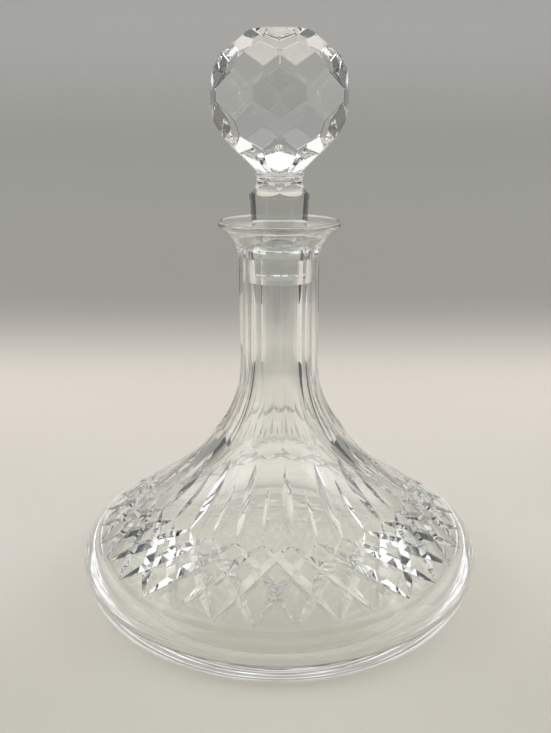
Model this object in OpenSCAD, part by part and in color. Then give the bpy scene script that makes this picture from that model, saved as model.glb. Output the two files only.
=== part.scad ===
// Ships decanter: a broad, low, heavy-based cut-glass body and its faceted ball stopper.
// The base stands on z = 0, the axis of the bottle is the Z axis, and the front faces -Y.

/* [Body] */
// Diameter over the widest part of the rim
rim_d = 190.5; // [170:0.5:210]
// Height of the rim's widest line
rim_z = 16.9; // [16:0.1:18]
// Radius of the rim's upper roll, where the skirt turns down
rim_top_r = 10.3; // [7:0.1:14]
// Radius of the rim's lower roll, down to the foot
rim_low_r = 22; // [20:0.5:30]
// Radius that rounds the edge of the foot
foot_round = 3; // [1:0.25:5]
// Radius of the shallow hollow ground under the base
hollow_r = 70; // [40:1:76]
// Depth of that hollow at the middle
hollow_h = 2; // [0.5:0.25:4]
// Slope of the skirt above the rim, from level
skirt_angle = 34.5; // [32:0.5:37]
// Radius of the sweep from the skirt up into the neck
flare_r = 86; // [78:1:94]

/* [Neck and lip] */
// Height of the lip
lip_z = 174.8; // [168:0.2:182]
// Diameter of the lip
lip_d = 54.8; // [50:0.2:60]
// Radius that rounds the lip's edge
lip_round = 1.5; // [1.2:0.1:1.8]
// Radius of the sweep under the lip
lip_flare_r = 17; // [15:0.5:19]
// Depth of the dished mouth inside the lip
mouth_h = 8; // [7:0.2:9]
// Number of flat flutes around the neck
flutes = 12; // [10:2:14]
// Width of the neck across its flat flutes
neck_flat = 35; // [34:0.5:36]
// Radius of the curve in which a flute runs out on the skirt
flute_low_r = 50; // [44:1:56]
// Depth below the sweep's top at which a flute starts to run out on the skirt
flute_low_drop = 11.3; // [9:0.1:14]
// Radius of the curve in which a flute runs out under the lip
flute_top_r = 14; // [12:0.5:16]
// Distance of a flute's highest point below the lip
flute_top_gap = 3.6; // [3:0.2:5]
// Rise of every other flute over its neighbours, as cutting by hand leaves them
flute_step = 0.3; // [0.2:0.05:0.4]
// Turn of the flutes about the axis
flute_turn = 19; // [0:0.5:30]

/* [Cavity] */
// Thickness of the skirt's wall
wall = 6; // [5:0.25:8]
// Thickness of the base at its rim
floor_t = 8.5; // [7:0.25:12]
// Radius of the cavity's lower corner
corner_r = 8; // [5:0.5:9]
// Radius of the cavity's sweep into the neck
cavity_flare_r = 95; // [90:1:100]

/* [Seat] */
// Radius of the mouth's seat at its upper end
throat_r = 12; // [11.5:0.1:12.6]
// Growth of the seat's radius for each millimetre of height
seat_taper = 0.08; // [0.06:0.005:0.09]
// Gap between the stopper's peg and its seat
seat_gap = 0.15; // [0.1:0.05:0.3]
// Length of the seat below the end of the peg
seat_over = 2; // [1:0.5:4]

/* [Skirt cuts] */
// Number of cuts of each kind around the skirt
cuts = 32; // [24:4:36]
// Turn of the cuts about the axis
cut_turn = 4.5; // [0:0.5:15]
// Radius of the ring of points below the diamonds
tip_r = 88.4; // [86:0.2:89]
// Radius of the ring of points above the diamonds
apex_r = 60; // [58:0.5:64]
// Steps that a slanting cut takes around the skirt, in cuts
slant_steps = 2; // [1:1:3]
// Depth of a slanting cut at its two ends
slant_end_h = 0.7; // [0.5:0.05:0.9]
// Extra depth of the slanting cuts that lean to the left, which cross the others
cross_h = 0.08; // [0.05:0.01:0.12]
// Half of the angle between the sides of a cut
cut_half_angle = 52; // [40:1:60]
// Radius at the top of the long upright cuts
long_top_r = 33.5; // [32:0.5:36]
// Radius at the top of the short upright cuts
short_top_r = 39.5; // [37:0.5:42]
// Radius of the wheel that makes the upright cuts
wheel_r = 46; // [44:1:52]

/* [Stopper] */
// Height of the stopper's top above the lip
stopper_rise = 78; // [76:0.2:82]
// Distance of the ball's facets from its centre
ball_flat = 28.5; // [27.5:0.1:29.5]
// Distance of the top facet from the ball's centre
table_h = 25.8; // [24.5:0.1:27]
// Number of facets in each row around the ball
facets = 9; // [8:1:10]
// Tilt between one row of facets and the next
row_tilt = 25.5; // [24:0.1:27]
// Tilt of the lowest row, which runs down to the collar
low_tilt = 45.5; // [44:0.1:48]
// Distance of the lowest row from the ball's centre
low_flat = 29.2; // [28.8:0.1:29.6]
// Turn of the ball's facets about the axis
ball_turn = 0; // [0:1:40]
// Height of the collar ring below the ball's centre
collar_drop = 32.4; // [31.8:0.1:33]
// Radius over the collar ring
collar_r = 10.9; // [10.7:0.1:11.3]
// Radius of the collar ring's round edge
collar_round = 1.1; // [0.8:0.1:1.3]
// Radius of the waist under the collar
waist_r = 10.4; // [10.2:0.1:10.6]
// Height of the knuckle's edge above the lip
knuckle_rise = 13.6; // [12.8:0.2:14.4]
// Radius of the sweep from the waist to the knuckle
knuckle_sweep = 4; // [3.6:0.2:4.4]
// Number of scallops cut around the knuckle
scallops = 6; // [5:1:8]
// Radius of the wheel that cuts the scallops
scallop_r = 7.2; // [6.6:0.2:7.8]
// Distance of the scallops from the axis at the waist
scallop_flat = 10; // [9.8:0.1:10.2]
// Depth of the peg's end below the lip
peg_drop = 25; // [22:0.5:30]
// Bevel on the peg's lower edge
peg_bevel = 1; // [0.5:0.25:1.5]

/* [Hidden] */
$fn = 96;
glass = [0.86, 0.88, 0.86, 0.55];
arc_step = 6;
far = 60;

// Points of an arc about c, from angle a to angle b
function arc(c, r, a, b) =
    let (n = max(2, ceil(abs(b - a) / arc_step)))
    [for (i = [0 : n]) c + r * [cos(a + (b - a) * i / n), sin(a + (b - a) * i / n)]];
function angle_of(v) = atan2(v[1], v[0]);

// Outer outline: neck, sweep, skirt, rim and foot, each tangent to the next
rim_r = rim_d / 2;
lip_r = lip_d / 2;
flute_half = 180 / flutes;
neck_skin = 0.15;
neck_r = neck_flat / 2 / cos(flute_half) + neck_skin;
slope_n = [sin(skirt_angle), cos(skirt_angle)];
rim_c = [rim_r - rim_top_r, rim_z];
flare_x = neck_r + flare_r;
flare_z = rim_z + (rim_top_r + flare_r - slope_n[0] * (flare_x - rim_c[0])) / slope_n[1];
flare_c = [flare_x, flare_z];
skirt_top = flare_c - flare_r * slope_n;
low_c = [rim_r - rim_low_r, rim_z];
foot_dz = rim_z - foot_round;
foot_c = [low_c[0] + sqrt(pow(rim_low_r - foot_round, 2) - foot_dz * foot_dz), foot_round];
foot_angle = angle_of(foot_c - low_c);

// Lip: a round edge between the sweep below it and the dished mouth above it
edge_c = [lip_r - lip_round, lip_z - lip_round];
lip_x = neck_r + lip_flare_r;
lip_dz = sqrt(pow(lip_flare_r + lip_round, 2) - pow(lip_x - edge_c[0], 2));
lip_c = [lip_x, edge_c[1] - lip_dz];
throat_z = lip_z - mouth_h;
mouth_run = [throat_r, throat_z] - edge_c;
mouth_angle = 360 + angle_of(mouth_run) - acos(lip_round / norm(mouth_run));

// Seat, bore and cavity
peg_z = lip_z - peg_drop;
seat_low_z = peg_z - seat_over;
function seat_r(z) = throat_r + (z - throat_z) * seat_taper;
bore_r = seat_r(seat_low_z);
inner_x = bore_r + cavity_flare_r;
inner_rise = cavity_flare_r - wall - slope_n[0] * (inner_x - skirt_top[0]);
inner_c = [inner_x, skirt_top[1] + inner_rise / slope_n[1]];
corner_z = floor_t + corner_r;
corner_run = -corner_r - wall - slope_n[1] * (corner_z - skirt_top[1]);
corner_c = [skirt_top[0] + corner_run / slope_n[0], corner_z];
hollow_dome = (hollow_r * hollow_r + hollow_h * hollow_h) / (2 * hollow_h);
hollow_c = [0, hollow_h - hollow_dome];

// Stopper heights
top_z = lip_z + stopper_rise;
ball_z = top_z - table_h;
collar_z = ball_z - collar_drop;
knuckle_z = lip_z + knuckle_rise;
function peg_r(z) = seat_r(z) - seat_gap;

// Half of the bottle's section: the outside first, then the mouth, the bore and the cavity
body_outline = concat(
    arc(hollow_c, hollow_dome, 90, angle_of([hollow_r, 0] - hollow_c)),
    arc(foot_c, foot_round, -90, foot_angle),
    arc(low_c, rim_low_r, foot_angle, 0),
    arc(rim_c, rim_top_r, 0, 90 - skirt_angle),
    arc(flare_c, flare_r, 270 - skirt_angle, 180),
    arc(lip_c, lip_flare_r, 180, angle_of(edge_c - lip_c)),
    arc(edge_c, lip_round, angle_of(lip_c - edge_c), mouth_angle),
    [[throat_r, throat_z], [bore_r, seat_low_z]],
    arc(inner_c, cavity_flare_r, 180, 270 - skirt_angle),
    arc(corner_c, corner_r, 90 - skirt_angle, -90),
    [[0, floor_t]]
);

// Line of a flute in the plane of the axis, closed on the outside of the neck
flat_r = neck_flat / 2;
flute_run = 75;
flute_top_z = lip_z - flute_top_gap;
flute_low_z = flare_z - flute_low_drop;
flute_low_c = [flat_r + flute_low_r, flute_low_z];
flute_top_c = [flat_r + flute_top_r, flute_top_z - flute_top_r];
flute_outline = concat(
    arc(flute_low_c, flute_low_r, 180 + flute_run, 180),
    arc(flute_top_c, flute_top_r, 180, 90),
    [[flat_r + far, flute_top_z], [flat_r + far, flute_low_z - flute_low_r]]
);

// One flat flute, on the front of the neck
module flute() {
    rotate([90, 0, -90])
        linear_extrude(height = neck_flat, center = true)
            polygon(flute_outline);
}

// Point of the skirt's cone at radius r, turned by angle a from the front
function skirt_z(r) = skirt_top[1] - (r - skirt_top[0]) * tan(skirt_angle);
function on_skirt(r, a) = [r * sin(a), -r * cos(a), skirt_z(r)];
cut_pitch = 360 / cuts;
cut_reach = 2.2;
cut_over = 1;
wheel_rim = 2.5;

// One slanting mitre cut, straight from a low point to a high point of the skirt
module slant_cut(side) {
    half_turn = side * slant_steps * cut_pitch / 2;
    end_h = slant_end_h + (side < 0 ? cross_h : 0);
    over = cut_over + (side < 0 ? cross_h : 0);
    normal = [0, -slope_n[0], slope_n[1]];
    low = on_skirt(tip_r, -half_turn) - end_h * normal;
    high = on_skirt(apex_r, half_turn) - end_h * normal;
    run = high - low;
    along = run / norm(run);
    start = low - over * along;
    across = cross(normal, along) / norm(cross(normal, along));
    up = cross(along, across);
    cut_w = cut_reach * tan(cut_half_angle);
    multmatrix([
        [across[0], up[0], along[0], start[0]],
        [across[1], up[1], along[1], start[1]],
        [across[2], up[2], along[2], start[2]],
        [0, 0, 0, 1]
    ])
        linear_extrude(height = norm(run) + 2 * over)
            polygon([[0, 0], [cut_w, cut_reach], [-cut_w, cut_reach]]);
}

// One upright pointed cut, from the diamonds up to radius top_r, made by a wheel in the axis plane
module upright_cut(top_r) {
    top_a = acos(1 - (top_r - neck_r) / flare_r);
    foot_v = flare_c - [apex_r, skirt_z(apex_r)];
    foot_a = angle_of(foot_v);
    mid_a = (top_a + foot_a) / 2;
    half_a = (foot_a - top_a) / 2;
    chord = flare_r * cos(half_a);
    rise = sqrt(pow(wheel_r, 2) - pow(flare_r * sin(half_a), 2));
    wheel_c = flare_c - (chord - rise) * [cos(mid_a), sin(mid_a)];
    wheel_h = wheel_rim * tan(cut_half_angle);
    translate([0, -wheel_c[0], wheel_c[1]])
        rotate([0, 90, 0])
            rotate_extrude()
                polygon([[wheel_r - wheel_rim, -wheel_h], [wheel_r, 0], [wheel_r - wheel_rim, wheel_h]]);
}

// One family of slanting cuts, all leaning the same way
module slant_cuts(side) {
    for (i = [0 : cuts - 1])
        rotate([0, 0, cut_turn + (i + slant_steps / 2) * cut_pitch])
            slant_cut(side);
}

// The upright cuts, long and short in turn
module upright_cuts() {
    for (i = [0 : cuts - 1])
        rotate([0, 0, cut_turn + i * cut_pitch])
            upright_cut(i % 2 == 0 ? long_top_r : short_top_r);
}

// The bottle: revolved section, fluted neck and cut skirt
module decanter_body() {
    color(glass)
        difference() {
            difference() {
                difference() {
                    difference() {
                        rotate_extrude()
                            polygon(body_outline);
                        for (i = [0 : flutes - 1])
                            translate([0, 0, i % 2 * flute_step])
                                rotate([0, 0, flute_turn + i * 360 / flutes])
                                    flute();
                    }
                    slant_cuts(1);
                }
                slant_cuts(-1);
            }
            upright_cuts();
        }
}

// Everything on the inner side of one facet, for a facet whose normal is tilted up by tilt
module facet_side(tilt, distance) {
    side = 4 * ball_flat;
    rotate([tilt, 0, 0])
        translate([-side / 2, -distance, -side / 2])
            cube(side);
}

// The ball: five staggered rows of facets and a flat top
module ball() {
    rotate([0, 0, ball_turn])
        intersection() {
            translate([-2 * ball_flat, -2 * ball_flat, -collar_drop])
                cube([4 * ball_flat, 4 * ball_flat, collar_drop + table_h]);
            intersection_for (row = [-1 : 2], i = [0 : facets - 1])
                rotate([0, 0, (i + (row % 2 == 0 ? 0 : 0.5)) * 360 / facets])
                    facet_side(-row * row_tilt, ball_flat);
            intersection_for (i = [0 : facets - 1])
                rotate([0, 0, i * 360 / facets])
                    facet_side(low_tilt, low_flat);
        }
}

// Section of the stopper below the ball: collar, waist, knuckle and peg
knuckle_r = peg_r(knuckle_z);
sweep_dz = sqrt(pow(knuckle_sweep, 2) - pow(knuckle_sweep - (knuckle_r - waist_r), 2));
sweep_c = [waist_r + knuckle_sweep, knuckle_z + sweep_dz];
collar_c = [collar_r - collar_round, collar_z];
shank_outline = concat(
    [[0, ball_z], [waist_r, ball_z]],
    arc(collar_c, collar_round, 90, -90),
    arc(sweep_c, knuckle_sweep, 180, angle_of([knuckle_r, knuckle_z] - sweep_c) + 360),
    [
        [peg_r(peg_z + peg_bevel), peg_z + peg_bevel],
        [peg_r(peg_z) - peg_bevel, peg_z],
        [0, peg_z]
    ]
);

// Line of a scallop in the plane of the axis, closed on the outside of the knuckle
scallop_c = [scallop_flat + scallop_r, sweep_c[1]];
scallop_outline = concat(
    arc(scallop_c, scallop_r, 270, 180),
    [[scallop_flat, collar_z - collar_round], [scallop_flat + far, collar_z - collar_round]],
    [[scallop_flat + far, scallop_c[1] - scallop_r]]
);

// The stopper: faceted ball on a scalloped shank
module stopper() {
    color(glass)
        union() {
            translate([0, 0, ball_z])
                ball();
            difference() {
                rotate_extrude()
                    polygon(shank_outline);
                for (i = [0 : scallops - 1])
                    rotate([0, 0, (i + 0.5) * 360 / scallops])
                        rotate([90, 0, -90])
                            linear_extrude(height = 4 * collar_r, center = true)
                                polygon(scallop_outline);
            }
        }
}

decanter_body();
stopper();
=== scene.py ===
"""Ships decanter in clear cut crystal: the bottle and its faceted ball stopper, on a pale sweep."""

import math

import bmesh
import bpy
import numpy as np
from mathutils import Matrix, Vector


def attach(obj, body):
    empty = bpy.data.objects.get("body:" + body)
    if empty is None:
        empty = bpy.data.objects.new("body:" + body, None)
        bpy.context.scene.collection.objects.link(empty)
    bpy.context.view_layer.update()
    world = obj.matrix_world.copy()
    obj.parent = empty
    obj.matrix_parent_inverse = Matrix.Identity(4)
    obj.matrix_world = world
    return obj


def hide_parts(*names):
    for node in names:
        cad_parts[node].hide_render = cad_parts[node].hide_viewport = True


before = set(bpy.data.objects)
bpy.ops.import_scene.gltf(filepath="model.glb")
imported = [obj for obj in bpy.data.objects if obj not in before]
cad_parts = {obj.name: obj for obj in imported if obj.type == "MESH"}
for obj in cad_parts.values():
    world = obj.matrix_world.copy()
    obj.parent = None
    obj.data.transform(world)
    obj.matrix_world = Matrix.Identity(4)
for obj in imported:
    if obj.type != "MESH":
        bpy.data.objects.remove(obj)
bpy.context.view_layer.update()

# The glass has its sizes in millimetres and its angles in degrees. The stage is in metres.

# Outside of the bottle
RIM_D = 190.5  # over the widest part of the rim
RIM_Z = 16.9  # height of the rim's widest line
RIM_TOP_R = 10.3  # upper roll of the rim, where the skirt turns down
RIM_LOW_R = 22  # lower roll of the rim, down to the foot
FOOT_ROUND = 3  # edge of the foot
HOLLOW_R = 70  # shallow hollow ground under the base
HOLLOW_H = 2  # depth of that hollow at the middle
SKIRT_ANGLE = 34.5  # slope of the skirt, from level
FLARE_R = 86  # sweep from the skirt up into the neck
LIP_Z = 174.8
LIP_D = 54.8
LIP_ROUND = 1.5  # edge of the lip
LIP_FLARE_R = 17  # sweep under the lip
MOUTH_H = 8  # depth of the dished mouth inside the lip

# Flutes of the neck
FLUTES = 12
NECK_FLAT = 35  # width across the flat flutes
NECK_SKIN = 0.15  # glass over the flutes' corners, which the flutes take away
FLUTE_LOW_R = 50  # curve in which a flute runs out on the skirt
FLUTE_LOW_DROP = 11.3  # start of that curve below the sweep's top
FLUTE_RUN = 75  # angle of that curve
FLUTE_TOP_R = 14  # curve in which a flute runs out under the lip
FLUTE_TOP_GAP = 3.6  # highest point of a flute below the lip
FLUTE_STEP = 0.3  # rise of every other flute over its neighbours
FLUTE_TURN = 19  # turn of the flutes about the axis

# Cavity of the bottle, and the seat of the stopper
WALL = 6  # thickness of the skirt
FLOOR_T = 8.5  # thickness of the base at its rim
CORNER_R = 8  # lower corner of the cavity
CAVITY_FLARE_R = 82  # sweep of the cavity into the neck
THROAT_R = 12  # seat at its upper end
SEAT_TAPER = 0.08  # growth of the seat's radius for each millimetre of height
SEAT_GAP = 0.15  # between the peg and its seat
SEAT_OVER = 2  # length of the seat below the end of the peg

# Mitre cuts of the skirt
CUTS = 32  # cuts of each kind
CUT_TURN = 4.5  # turn of the cuts about the axis
TIP_R = 88.4  # ring of points below the diamonds
APEX_R = 60  # ring of points above the diamonds
SLANT_STEPS = 2  # steps that a slanting cut takes around the skirt, in cuts
CROSS_H = 0.08  # extra depth of the slanting cuts that cross the others
SLANT_WHEEL_R = 135  # wheel of the slanting cuts
SLANT_HALF_ANGLE = 48  # half of the angle between the sides of a slanting cut
LONG_TOP_R = 33.5  # top of the long upright cuts
SHORT_TOP_R = 39.5  # top of the short upright cuts
UPRIGHT_WHEEL_R = 46  # wheel of the upright cuts
UPRIGHT_HALF_ANGLE = 52  # half of the angle between the sides of an upright cut
WHEEL_RIM = 4  # depth of a wheel's sharp rim
WHEEL_SPAN = 1.15  # length of a wheel's arc, as a share of its cut
WHEEL_STEPS = 24  # steps of that arc

# Stopper
STOPPER_RISE = 78  # top of the stopper above the lip
BALL_FLAT = 28.5  # facets from the ball's centre
TABLE_H = 25.8  # top facet from the ball's centre
FACETS = 9  # facets in a row
ROW_TILT = 25.5  # tilt from one row of facets to the next
LOW_TILT = 45.5  # tilt of the lowest row, which runs down to the collar
LOW_FLAT = 29.2  # lowest row from the ball's centre
EDGE_BEVEL = 0.26  # polished edges between the facets
COLLAR_DROP = 32.4  # collar ring below the ball's centre
COLLAR_R = 10.9  # over the collar ring
COLLAR_ROUND = 1.1  # round edge of the collar ring
WAIST_R = 10.4  # waist under the collar
KNUCKLE_RISE = 13.6  # edge of the knuckle above the lip
KNUCKLE_SWEEP = 4  # sweep from the waist to the knuckle
SCALLOPS = 6
SCALLOP_R = 7.2  # wheel of the scallops
SCALLOP_FLAT = 10  # scallops from the axis, at the waist
PEG_DROP = 25  # end of the peg below the lip
PEG_BEVEL = 0.4  # lower edge of the peg

# Fineness of the glass
AROUND = 360  # steps around the axis
ARC_STEP = 2.5  # degrees of an arc in one step
ON_AXIS = 1e-6  # a radius as small as this lies on the axis
WELD = 1e-4  # corners as close as this are one
FAR = 60  # reach of a cutting tool out past the glass
MM = 0.001  # a millimetre in metres

# Labels tell the surfaces of the glass apart. The ball's flat facets have none, and neither have the faces
# of a cutting tool that stay outside the glass.
NO_LABEL = 0
ROUND_LABEL = 1
FLUTE_LABEL = 100
SLANT_LABEL = 200
UPRIGHT_LABEL = 300
SCALLOP_LABEL = 100


def vec(*values):
    """A point or a way, in the plane of a section or in space."""
    return np.array(values, float)


UP = vec(0, 0, 1)


def angle_of(v):
    """Angle of a way in the plane of a section."""
    return math.degrees(math.atan2(v[1], v[0]))


def way_out(turn):
    """The way from the axis that is turned by an angle from the front."""
    t = math.radians(turn)
    return vec(math.sin(t), -math.cos(t), 0)


def arc(c, r, a, b):
    """A stretch of a section: points of an arc about c from angle a to angle b, and how it faces."""
    n = max(2, math.ceil(abs(b - a) / ARC_STEP))
    t = np.radians(np.linspace(a, b, n + 1))
    pts = c + r * np.column_stack([np.cos(t), np.sin(t)])
    return {"pts": pts, "c": c, "turn": math.copysign(1, b - a)}


def line(p, q):
    """A straight stretch of a section, facing to the right of its run."""
    d = (q - p) / np.linalg.norm(q - p)
    return {"pts": np.array([p, q]), "normal": vec(d[1], -d[0])}


def facing(stretch, rz):
    """The way a stretch of a section faces at the points rz."""
    if "c" not in stretch:
        return np.tile(stretch["normal"], (len(rz), 1))
    v = rz - stretch["c"]
    return stretch["turn"] * v / np.linalg.norm(v, axis=1, keepdims=True)


def new_object(name, verts, faces, labels):
    """A new object with a label on each face."""
    mesh = bpy.data.meshes.new(name)
    mesh.from_pydata([tuple(v) for v in verts], [], faces)
    mesh.polygons.foreach_set("material_index", np.array(labels, np.int32))
    mesh.update()
    obj = bpy.data.objects.new(name, mesh)
    bpy.context.scene.collection.objects.link(obj)
    return obj


def face_out(obj):
    """Turns the faces of a closed solid outwards."""
    bm = bmesh.new()
    bm.from_mesh(obj.data)
    bmesh.ops.recalc_face_normals(bm, faces=bm.faces)
    bm.to_mesh(obj.data)
    bm.free()


def revolve(name, stretches):
    """A closed solid of revolution. Each stretch of its section gets a label of its own."""
    rows = [stretches[0]["pts"][0]]
    labels = []
    for k, stretch in enumerate(stretches):
        rows.extend(stretch["pts"][1:])
        labels.extend([ROUND_LABEL + k] * (len(stretch["pts"]) - 1))
    turn = np.linspace(0, 2 * math.pi, AROUND, endpoint=False)
    verts, starts = [], []
    for r, z in rows:
        starts.append(len(verts))
        if r < ON_AXIS:
            verts.append((0, 0, z))
        else:
            verts.extend(zip(r * np.cos(turn), r * np.sin(turn), np.full(AROUND, z)))
    faces, face_labels = [], []
    for k, label in enumerate(labels):
        a, b = starts[k], starts[k + 1]
        low_pole = rows[k][0] < ON_AXIS
        high_pole = rows[k + 1][0] < ON_AXIS
        for i in range(AROUND):
            j = (i + 1) % AROUND
            if low_pole:
                faces.append((a, b + j, b + i))
            elif high_pole:
                faces.append((a + i, a + j, b))
            else:
                faces.append((a + i, a + j, b + j, b + i))
            face_labels.append(label)
    return new_object(name, verts, faces, face_labels)


def prism(name, outline, out, lift, half_width, labels):
    """An outline in the upright plane of the way out, raised by lift and drawn out to both sides."""
    n = len(outline)
    across = np.cross(UP, out)
    base = [r * out + (z + lift) * UP for r, z in outline]
    verts = [p - half_width * across for p in base] + [p + half_width * across for p in base]
    faces = [(i, (i + 1) % n, n + (i + 1) % n, n + i) for i in range(n)]
    faces += [tuple(reversed(range(n))), tuple(range(n, 2 * n))]
    tool = new_object(name, verts, faces, labels + [NO_LABEL] * 2)
    face_out(tool)
    return tool


def joined(name, objs):
    """Several tools that don't touch, as one."""
    verts, faces, labels = [], [], []
    for obj in objs:
        base = len(verts)
        verts.extend(v.co[:] for v in obj.data.vertices)
        faces.extend(tuple(base + i for i in p.vertices) for p in obj.data.polygons)
        labels.extend(p.material_index for p in obj.data.polygons)
        bpy.data.objects.remove(obj)
    return new_object(name, verts, faces, labels)


def combine(obj, tools, operation):
    """The solid after each tool in turn is cut from it or joined to it."""
    for tool in tools:
        mod = obj.modifiers.new("combine", "BOOLEAN")
        mod.operation = operation
        mod.solver = "MANIFOLD"
        mod.object = tool
        result = obj.evaluated_get(bpy.context.evaluated_depsgraph_get())
        made = bpy.data.meshes.new_from_object(result)
        obj.modifiers.clear()
        obj.data = made
        bpy.data.objects.remove(tool)


def round_rule(stretch):
    """Normals of a revolved stretch."""
    def rule(points, flat):
        r = np.hypot(points[:, 0], points[:, 1])
        n = facing(stretch, np.column_stack([r, points[:, 2]]))
        safe = np.maximum(r, ON_AXIS)
        return np.column_stack([n[:, 0] * points[:, 0] / safe, n[:, 0] * points[:, 1] / safe, n[:, 1]])
    return rule


def panel_rule(stretch, out, lift):
    """Normals of a stretch cut straight across, where the cut faces the way out and is raised by lift."""
    def rule(points, flat):
        rz = np.column_stack([points @ out, points[:, 2] - lift])
        n = facing(stretch, rz)
        return n[:, :1] * out + n[:, 1:] * UP
    return rule


def polish(obj, rules):
    """Gives each surface its true normals, by the rule of its label, and brings the glass to metres."""
    mesh = obj.data
    count = len(mesh.polygons)
    labels = np.zeros(count, np.int32)
    totals = np.zeros(count, np.int32)
    flat = np.zeros(count * 3)
    corners = np.zeros(len(mesh.loops), np.int32)
    co = np.zeros(len(mesh.vertices) * 3)
    mesh.polygons.foreach_get("material_index", labels)
    mesh.polygons.foreach_get("loop_total", totals)
    mesh.polygons.foreach_get("normal", flat)
    mesh.loops.foreach_get("vertex_index", corners)
    mesh.vertices.foreach_get("co", co)
    face_of = np.repeat(np.arange(count), totals)
    points = co.reshape(-1, 3)[corners]
    normals = flat.reshape(-1, 3)[face_of].copy()
    for label in np.unique(labels):
        if label in rules:
            here = labels[face_of] == label
            normals[here] = rules[label](points[here], normals[here])
    mesh.polygons.foreach_set("use_smooth", np.ones(count, bool))
    mesh.polygons.foreach_set("material_index", np.zeros(count, np.int32))
    mesh.normals_split_custom_set(normals.tolist())
    mesh.transform(Matrix.Scale(MM, 4))
    mesh.update()


# Section of the bottle, from the middle of its base out and up, and down the inside
rim_r = RIM_D / 2
lip_r = LIP_D / 2
neck_r = NECK_FLAT / 2 / math.cos(math.radians(180 / FLUTES)) + NECK_SKIN
slope = math.radians(SKIRT_ANGLE)
slope_n = vec(math.sin(slope), math.cos(slope))
rim_c = vec(rim_r - RIM_TOP_R, RIM_Z)
flare_x = neck_r + FLARE_R
flare_z = RIM_Z + (RIM_TOP_R + FLARE_R - slope_n[0] * (flare_x - rim_c[0])) / slope_n[1]
flare_c = vec(flare_x, flare_z)
skirt_top = flare_c - FLARE_R * slope_n
low_c = vec(rim_r - RIM_LOW_R, RIM_Z)
foot_dz = RIM_Z - FOOT_ROUND
foot_c = vec(low_c[0] + math.sqrt((RIM_LOW_R - FOOT_ROUND) ** 2 - foot_dz**2), FOOT_ROUND)
foot_angle = angle_of(foot_c - low_c)
edge_c = vec(lip_r - LIP_ROUND, LIP_Z - LIP_ROUND)
lip_x = neck_r + LIP_FLARE_R
lip_c = vec(lip_x, edge_c[1] - math.sqrt((LIP_FLARE_R + LIP_ROUND) ** 2 - (lip_x - edge_c[0]) ** 2))
throat_z = LIP_Z - MOUTH_H
throat = vec(THROAT_R, throat_z)
mouth_run = throat - edge_c
mouth_turn = math.degrees(math.acos(LIP_ROUND / np.linalg.norm(mouth_run)))
mouth_angle = 360 + angle_of(mouth_run) - mouth_turn
peg_z = LIP_Z - PEG_DROP


def seat_r(z):
    """Radius of the tapered seat at a height."""
    return THROAT_R + (z - throat_z) * SEAT_TAPER


def peg_r(z):
    """Radius of the stopper's tapered peg at a height."""
    return seat_r(z) - SEAT_GAP


seat_low_z = peg_z - SEAT_OVER
bore_r = seat_r(seat_low_z)
seat_low = vec(bore_r, seat_low_z)
inner_x = bore_r + CAVITY_FLARE_R
inner_rise = CAVITY_FLARE_R - WALL - slope_n[0] * (inner_x - skirt_top[0])
inner_c = vec(inner_x, skirt_top[1] + inner_rise / slope_n[1])
corner_z = FLOOR_T + CORNER_R
corner_run = -CORNER_R - WALL - slope_n[1] * (corner_z - skirt_top[1])
corner_c = vec(skirt_top[0] + corner_run / slope_n[0], corner_z)
dome_r = (HOLLOW_R**2 + HOLLOW_H**2) / (2 * HOLLOW_H)
hollow_c = vec(0, HOLLOW_H - dome_r)
hollow_edge = vec(HOLLOW_R, 0)

hollow = arc(hollow_c, dome_r, 90, angle_of(hollow_edge - hollow_c))
foot = arc(foot_c, FOOT_ROUND, -90, foot_angle)
rim_low = arc(low_c, RIM_LOW_R, foot_angle, 0)
rim_top = arc(rim_c, RIM_TOP_R, 0, 90 - SKIRT_ANGLE)
flare = arc(flare_c, FLARE_R, 270 - SKIRT_ANGLE, 180)
lip_sweep = arc(lip_c, LIP_FLARE_R, 180, angle_of(edge_c - lip_c))
lip_edge = arc(edge_c, LIP_ROUND, angle_of(lip_c - edge_c), mouth_angle)
inside = arc(inner_c, CAVITY_FLARE_R, 180, 270 - SKIRT_ANGLE)
corner = arc(corner_c, CORNER_R, 90 - SKIRT_ANGLE, -90)
chain = [
    hollow,
    line(hollow_edge, foot["pts"][0]),
    foot,
    rim_low,
    rim_top,
    line(rim_top["pts"][-1], flare["pts"][0]),
    flare,
    line(flare["pts"][-1], lip_sweep["pts"][0]),
    lip_sweep,
    lip_edge,
    line(lip_edge["pts"][-1], throat),
    line(throat, seat_low),
    line(seat_low, inside["pts"][0]),
    inside,
    line(inside["pts"][-1], corner["pts"][0]),
    corner,
    line(corner["pts"][-1], vec(0, FLOOR_T)),
]
bottle_rules = {ROUND_LABEL + k: round_rule(s) for k, s in enumerate(chain)}
bottle = revolve("bottle", chain)

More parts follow.
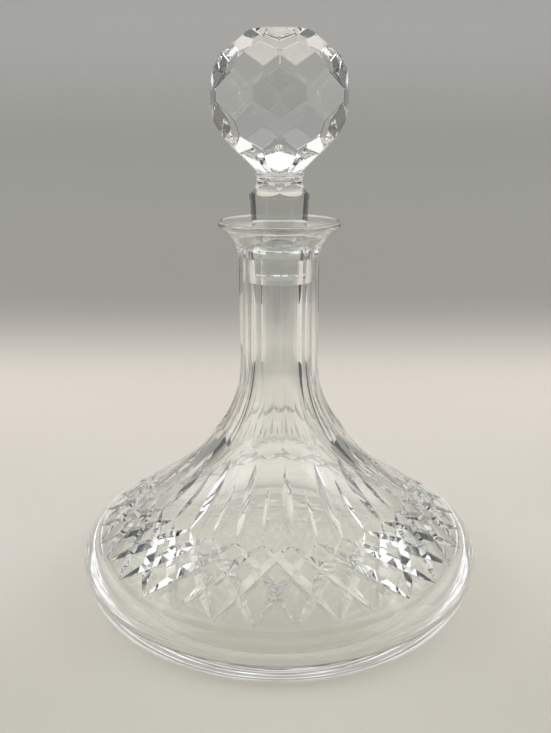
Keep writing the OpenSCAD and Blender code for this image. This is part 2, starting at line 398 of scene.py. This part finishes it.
# Flat flutes around the neck
flat_r = NECK_FLAT / 2
flute_far = flat_r + FAR
flute_top_z = LIP_Z - FLUTE_TOP_GAP
flute_low_z = flare_z - FLUTE_LOW_DROP
flute_low_c = vec(flat_r + FLUTE_LOW_R, flute_low_z)
flute_top_c = vec(flat_r + FLUTE_TOP_R, flute_top_z - FLUTE_TOP_R)
flute_low = arc(flute_low_c, FLUTE_LOW_R, 180 + FLUTE_RUN, 180)
flute_top = arc(flute_top_c, FLUTE_TOP_R, 180, 90)
flute_flat = line(flute_low["pts"][-1], flute_top["pts"][0])
flute_outline = [
    *flute_low["pts"],
    *flute_top["pts"],
    vec(flute_far, flute_top_z),
    vec(flute_far, flute_low_z - FLUTE_LOW_R),
]
low_n = len(flute_low["pts"]) - 1
top_n = len(flute_top["pts"]) - 1
flutes = []
for i in range(FLUTES):
    out = way_out(FLUTE_TURN + i * 360 / FLUTES)
    lift = i % 2 * FLUTE_STEP
    label = FLUTE_LABEL + 3 * i
    bottle_rules[label] = panel_rule(flute_low, out, lift)
    bottle_rules[label + 1] = panel_rule(flute_flat, out, lift)
    bottle_rules[label + 2] = panel_rule(flute_top, out, lift)
    labels = [label] * low_n + [label + 1] + [label + 2] * top_n + [NO_LABEL] * 3
    flutes.append(prism("flute", flute_outline, out, lift, flat_r, labels))
combine(bottle, flutes, "DIFFERENCE")

# Mitre cuts on the skirt: two crossing families of slanting cuts, and upright cuts above them
pitch = 360 / CUTS


def on_skirt(r, turn):
    """The point of the skirt's straight slope at a radius, turned by an angle from the front."""
    z = skirt_top[1] - (r - skirt_top[0]) * math.tan(slope)
    return r * way_out(turn) + z * UP


def wheel_cut(label, start, end, face, radius, half_degrees):
    """A cut by a wheel with a sharp rim, from start to end on a surface that faces the third way."""
    chord = end - start
    length = np.linalg.norm(chord)
    along = chord / length
    across = np.cross(face, along)
    across /= np.linalg.norm(across)
    up = np.cross(along, across)
    centre = (start + end) / 2 + math.sqrt(radius**2 - (chord @ chord) / 4) * up
    reach = math.degrees(math.asin(length / 2 / radius)) * WHEEL_SPAN
    half_angle = math.radians(half_degrees)
    h = WHEEL_RIM * math.tan(half_angle)
    turns = np.radians(np.linspace(-reach, reach, WHEEL_STEPS + 1))
    rays = [math.sin(t) * along - math.cos(t) * up for t in turns]
    rings = [(radius, 0), (radius - WHEEL_RIM, h), (radius - WHEEL_RIM, -h)]
    n = len(rays)
    verts = [centre + r * ray + s * across for r, s in rings for ray in rays]
    faces = [(0, n, 2 * n), (n - 1, 3 * n - 1, 2 * n - 1)]
    for k in range(3):
        a, b = k * n, (k + 1) % 3 * n
        faces += [(a + j, a + j + 1, b + j + 1, b + j) for j in range(n - 1)]

    def rule(points, flat):
        v = points - centre
        v -= np.outer(v @ across, across)
        v /= np.linalg.norm(v, axis=1, keepdims=True)
        side = np.sign(flat @ across)
        return math.cos(half_angle) * np.outer(side, across) - math.sin(half_angle) * v

    bottle_rules[label] = rule
    tool = new_object("wheel_cut", verts, faces, [label] * len(faces))
    face_out(tool)
    return tool


def slant_cut(side, i):
    """One slanting cut. Those of the second family, with side -1, lie a little deeper."""
    turn = CUT_TURN + (i + SLANT_STEPS / 2) * pitch
    half = side * SLANT_STEPS * pitch / 2
    face = slope_n[0] * way_out(turn) + slope_n[1] * UP
    label = SLANT_LABEL + i + (CUTS if side < 0 else 0)
    sink = (CROSS_H if side < 0 else 0) * face
    low = on_skirt(TIP_R, turn - half) - sink
    top = on_skirt(APEX_R, turn + half) - sink
    return wheel_cut(label, low, top, face, SLANT_WHEEL_R, SLANT_HALF_ANGLE)


def upright_cut(i):
    """One upright cut, from the skirt into the sweep, long and short by turns."""
    turn = CUT_TURN + i * pitch
    out = way_out(turn)
    top_r = LONG_TOP_R if i % 2 == 0 else SHORT_TOP_R
    top_z = flare_z - math.sqrt(FLARE_R**2 - (flare_x - top_r) ** 2)
    top = top_r * out + top_z * UP
    low = on_skirt(APEX_R, turn)
    return wheel_cut(UPRIGHT_LABEL + i, low, top, out + UP, UPRIGHT_WHEEL_R, UPRIGHT_HALF_ANGLE)


for side in (1, -1):
    combine(bottle, [joined("slants", [slant_cut(side, i) for i in range(CUTS)])], "DIFFERENCE")
combine(bottle, [joined("uprights", [upright_cut(i) for i in range(CUTS)])], "DIFFERENCE")
polish(bottle, bottle_rules)

# Section of the stopper, from the middle of its peg's end out and up to the middle of the ball
ball_z = LIP_Z + STOPPER_RISE - TABLE_H
collar_z = ball_z - COLLAR_DROP
knuckle_z = LIP_Z + KNUCKLE_RISE
knuckle_r = peg_r(knuckle_z)
sweep_dz = math.sqrt(KNUCKLE_SWEEP**2 - (KNUCKLE_SWEEP - (knuckle_r - WAIST_R)) ** 2)
sweep_c = vec(WAIST_R + KNUCKLE_SWEEP, knuckle_z + sweep_dz)
collar_c = vec(COLLAR_R - COLLAR_ROUND, collar_z)
bevel_low = vec(peg_r(peg_z) - PEG_BEVEL, peg_z)
bevel_top = vec(peg_r(peg_z + PEG_BEVEL), peg_z + PEG_BEVEL)
knuckle = vec(knuckle_r, knuckle_z)
waist_top = vec(WAIST_R, ball_z)
sweep = arc(sweep_c, KNUCKLE_SWEEP, angle_of(knuckle - sweep_c) % 360, 180)
collar = arc(collar_c, COLLAR_ROUND, -90, 90)
shank = [
    line(vec(0, peg_z), bevel_low),
    line(bevel_low, bevel_top),
    line(bevel_top, knuckle),
    sweep,
    line(sweep["pts"][-1], collar["pts"][0]),
    collar,
    line(collar["pts"][-1], waist_top),
    line(waist_top, vec(0, ball_z)),
]
stopper_rules = {ROUND_LABEL + k: round_rule(s) for k, s in enumerate(shank)}
stopper = revolve("ball_stopper", shank)

# Scallops around the knuckle
scallop_c = vec(SCALLOP_FLAT + SCALLOP_R, sweep_c[1])
scallop_top = vec(SCALLOP_FLAT, collar_z - COLLAR_ROUND)
scallop_far = SCALLOP_FLAT + FAR
scallop_half_w = 2 * COLLAR_R
scallop_arc = arc(scallop_c, SCALLOP_R, 270, 180)
scallop_flat = line(scallop_arc["pts"][-1], scallop_top)
scallop_outline = [
    *scallop_arc["pts"],
    scallop_top,
    vec(scallop_far, scallop_top[1]),
    vec(scallop_far, scallop_c[1] - SCALLOP_R),
]
arc_n = len(scallop_arc["pts"]) - 1
scallops = []
for i in range(SCALLOPS):
    out = way_out((i + 0.5) * 360 / SCALLOPS)
    label = SCALLOP_LABEL + 2 * i
    stopper_rules[label] = panel_rule(scallop_arc, out, 0)
    stopper_rules[label + 1] = panel_rule(scallop_flat, out, 0)
    labels = [label] * arc_n + [label + 1] + [NO_LABEL] * 3
    scallops.append(prism("scallop", scallop_outline, out, 0, scallop_half_w, labels))
combine(stopper, scallops, "DIFFERENCE")


def faceted_ball():
    """Five staggered rows of facets and a flat top, cut from a block, with finely polished edges."""
    block = 6 * BALL_FLAT
    bm = bmesh.new()
    bmesh.ops.create_cube(bm, size=block)
    planes = [(UP, TABLE_H), (-UP, COLLAR_DROP)]
    rows = [(row * ROW_TILT, BALL_FLAT, row % 2 / 2) for row in range(-1, 3)]
    rows.append((-LOW_TILT, LOW_FLAT, 0))
    for tilt, distance, stagger in rows:
        t = math.radians(tilt)
        for i in range(FACETS):
            out = way_out((i + stagger) * 360 / FACETS)
            planes.append((math.cos(t) * out + math.sin(t) * UP, distance))
    for face, distance in planes:
        geom = bm.verts[:] + bm.edges[:] + bm.faces[:]
        at = Vector(face * distance)
        made = bmesh.ops.bisect_plane(bm, geom=geom, plane_co=at, plane_no=Vector(face), clear_outer=True)
        rim = [e for e in made["geom_cut"] if isinstance(e, bmesh.types.BMEdge)]
        if rim:
            bmesh.ops.edgeloop_fill(bm, edges=rim)
    bmesh.ops.remove_doubles(bm, verts=bm.verts, dist=WELD)
    bmesh.ops.bevel(bm, geom=bm.edges[:], offset=EDGE_BEVEL, segments=1, affect="EDGES")
    bmesh.ops.recalc_face_normals(bm, faces=bm.faces)
    bmesh.ops.translate(bm, verts=bm.verts, vec=(0, 0, ball_z))
    mesh = bpy.data.meshes.new("ball")
    bm.to_mesh(mesh)
    bm.free()
    obj = bpy.data.objects.new("ball", mesh)
    bpy.context.scene.collection.objects.link(obj)
    return obj


combine(stopper, [faceted_ball()], "UNION")
polish(stopper, stopper_rules)

# Crystal, with a faint smear in its polish
CRYSTAL_IOR = 1.54
BOTTLE_TINT = (0.99, 1, 0.985)
STOPPER_TINT = (0.99, 1, 0.988)
SMEAR_SCALE = 60
SMEAR_DETAIL = 4
SMEAR_ROUGHNESS = 0.02


def crystal(name, tint):
    """Clear polished glass with the faint unevenness that polishing leaves."""
    mat = bpy.data.materials.new(name)
    mat.use_nodes = True
    nodes, links = mat.node_tree.nodes, mat.node_tree.links
    bsdf = nodes["Principled BSDF"]
    bsdf.inputs["Base Color"].default_value = (*tint, 1)
    bsdf.inputs["Transmission Weight"].default_value = 1
    bsdf.inputs["IOR"].default_value = CRYSTAL_IOR
    where = nodes.new("ShaderNodeTexCoord")
    smear = nodes.new("ShaderNodeTexNoise")
    smear.inputs["Scale"].default_value = SMEAR_SCALE
    smear.inputs["Detail"].default_value = SMEAR_DETAIL
    rough = nodes.new("ShaderNodeMapRange")
    rough.inputs["To Min"].default_value = 0
    rough.inputs["To Max"].default_value = SMEAR_ROUGHNESS
    links.new(where.outputs["Object"], smear.inputs["Vector"])
    links.new(smear.outputs["Fac"], rough.inputs["Value"])
    links.new(rough.outputs["Result"], bsdf.inputs["Roughness"])
    return mat


bottle.data.materials.clear()
bottle.data.materials.append(crystal("clear_crystal", BOTTLE_TINT))
stopper.data.materials.clear()
stopper.data.materials.append(crystal("stopper_crystal", STOPPER_TINT))

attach(bottle, "decanter")
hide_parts("decanter_body")
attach(stopper, "stopper")
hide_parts("stopper")

# Stage: a pale floor that sweeps up into a backdrop made grey by painted shade, with air between the floor
# and the glass
STAGE_W = 0.62
FRONT_Y = -0.5
SWEEP_Y = 0.3
SWEEP_R = 0.5
SWEEP_STEPS = 30
WALL_TOP = 2
AIR_GAP = 0.0003
path = [(FRONT_Y, -AIR_GAP)]
for a in np.radians(np.linspace(-90, 0, SWEEP_STEPS + 1)):
    path.append((SWEEP_Y + SWEEP_R * math.cos(a), SWEEP_R + SWEEP_R * math.sin(a) - AIR_GAP))
path.append((SWEEP_Y + SWEEP_R, WALL_TOP))
stage_verts = [(x, y, z) for y, z in path for x in (-STAGE_W, STAGE_W)]
stage_faces = [(2 * i, 2 * i + 1, 2 * i + 3, 2 * i + 2) for i in range(len(path) - 1)]
stage = new_object("stage", stage_verts, stage_faces, [NO_LABEL] * len(stage_faces))
for p in stage.data.polygons:
    p.use_smooth = True

# Colours of the paper by the way gone back and up over it, with the fall of the light painted in as shade:
# a floor with painted shade at its front that pales towards the back, painted shade that darkens the foot
# of the backdrop and the backdrop above it, and a backdrop that pales again at its top
PAPER_AND_PAINTED_SHADE = [
    (-0.11, (0.57, 0.55, 0.49)),
    (0.05, (0.72, 0.68, 0.62)),
    (0.29, (0.8, 0.75, 0.68)),
    (0.53, (0.38, 0.37, 0.35)),
    (0.85, (0.4, 0.4, 0.37)),
    (1.15, (0.56, 0.56, 0.55)),
]
PAPER_ROUGHNESS = 0.9
PAPER_SHINE = 0.1


def fill_ramp(ramp, stops):
    """Gives a ramp its stops, with soft steps from one to the next."""
    ramp.interpolation = "EASE"
    for k, (place, colour) in enumerate(stops):
        stop = ramp.elements[k] if k < 2 else ramp.elements.new(place)
        stop.position = place
        stop.color = (*colour, 1)


paper_start = PAPER_AND_PAINTED_SHADE[0][0]
paper_run = PAPER_AND_PAINTED_SHADE[-1][0] - paper_start
shaded_paper = bpy.data.materials.new("paper_sweep_with_painted_shade")
shaded_paper.use_nodes = True
nodes, links = shaded_paper.node_tree.nodes, shaded_paper.node_tree.links
bsdf = nodes["Principled BSDF"]
bsdf.inputs["Roughness"].default_value = PAPER_ROUGHNESS
bsdf.inputs["Specular IOR Level"].default_value = PAPER_SHINE
where = nodes.new("ShaderNodeTexCoord")
parts = nodes.new("ShaderNodeSeparateXYZ")
climb = nodes.new("ShaderNodeMath")
span = nodes.new("ShaderNodeMapRange")
span.inputs["From Min"].default_value = paper_start
span.inputs["From Max"].default_value = paper_start + paper_run
# This ramp paints the stage's shade into the paper's base colour
ramp = nodes.new("ShaderNodeValToRGB")
fill_ramp(ramp.color_ramp, [((at - paper_start) / paper_run, colour) for at, colour in PAPER_AND_PAINTED_SHADE])
links.new(where.outputs["Object"], parts.inputs["Vector"])
links.new(parts.outputs["Y"], climb.inputs[0])
links.new(parts.outputs["Z"], climb.inputs[1])
links.new(climb.outputs["Value"], span.inputs["Value"])
links.new(span.outputs["Result"], ramp.inputs["Fac"])
links.new(ramp.outputs["Color"], bsdf.inputs["Base Color"])
stage.data.materials.append(shaded_paper)

# Light: a broad soft glow overhead that fades to a dim room, and a panel at each side.
# The glow goes by height, from 0 straight below to 1 straight above.
SKY = [(0.45, 0.08), (0.66, 0.1), (0.77, 0.95), (0.9, 1.0), (1.0, 0.85)]
SKY_LEVEL = 1.18
PANEL_X = 1.1
PANEL_Y = -0.4
PANEL_Z = 0.7
PANEL_TARGET = Vector((0, 0, 0.1))
PANEL_SIZE = (0.8, 1.1)
PANEL_POWER = 3
PANEL_COLOUR = (1, 0.99, 0.97)
world = bpy.data.worlds.new("room")
bpy.context.scene.world = world
world.use_nodes = True
nodes, links = world.node_tree.nodes, world.node_tree.links
where = nodes.new("ShaderNodeTexCoord")
parts = nodes.new("ShaderNodeSeparateXYZ")
height = nodes.new("ShaderNodeMapRange")
height.inputs["From Min"].default_value = -1
sky = nodes.new("ShaderNodeValToRGB")
fill_ramp(sky.color_ramp, [(place, (level, level, level)) for place, level in SKY])
links.new(where.outputs["Generated"], parts.inputs["Vector"])
links.new(parts.outputs["Z"], height.inputs["Value"])
links.new(height.outputs["Result"], sky.inputs["Fac"])
links.new(sky.outputs["Color"], nodes["Background"].inputs["Color"])
nodes["Background"].inputs["Strength"].default_value = SKY_LEVEL


def side_panel(name, side):
    """A broad soft lamp at one side, turned towards the decanter."""
    lamp = bpy.data.lights.new(name, "AREA")
    lamp.shape = "RECTANGLE"
    lamp.size, lamp.size_y = PANEL_SIZE
    lamp.energy = PANEL_POWER
    lamp.color = PANEL_COLOUR
    obj = bpy.data.objects.new(name, lamp)
    at = Vector((side * PANEL_X, PANEL_Y, PANEL_Z))
    obj.location = at
    obj.rotation_euler = (PANEL_TARGET - at).to_track_quat("-Z", "Y").to_euler()
    bpy.context.scene.collection.objects.link(obj)


side_panel("left_panel", -1)
side_panel("right_panel", 1)

# Camera at the photograph's place, with its focal length and the height of its frame in pixels
FOCAL_PX = 800
FRAME_PX = 733
SENSOR = 36
CAMERA_AT = (-0.00175, -0.3578, 0.2185)
CAMERA_DOWN = 17.33
cam = bpy.data.cameras.new("camera")
cam.sensor_width = SENSOR
cam.lens = SENSOR * FOCAL_PX / FRAME_PX
cam_obj = bpy.data.objects.new("camera", cam)
cam_obj.location = CAMERA_AT
cam_obj.rotation_euler = (math.radians(90 - CAMERA_DOWN), 0, 0)
bpy.context.scene.collection.objects.link(cam_obj)
bpy.context.scene.camera = cam_obj

# Light goes through many faces of the glass
GLASS_BOUNCES = 32
GLINT_BOUNCES = 16
scene = bpy.context.scene
scene.view_settings.view_transform = "Standard"
scene.cycles.max_bounces = GLASS_BOUNCES
scene.cycles.transmission_bounces = GLASS_BOUNCES
scene.cycles.glossy_bounces = GLINT_BOUNCES
scene.cycles.blur_glossy = 0
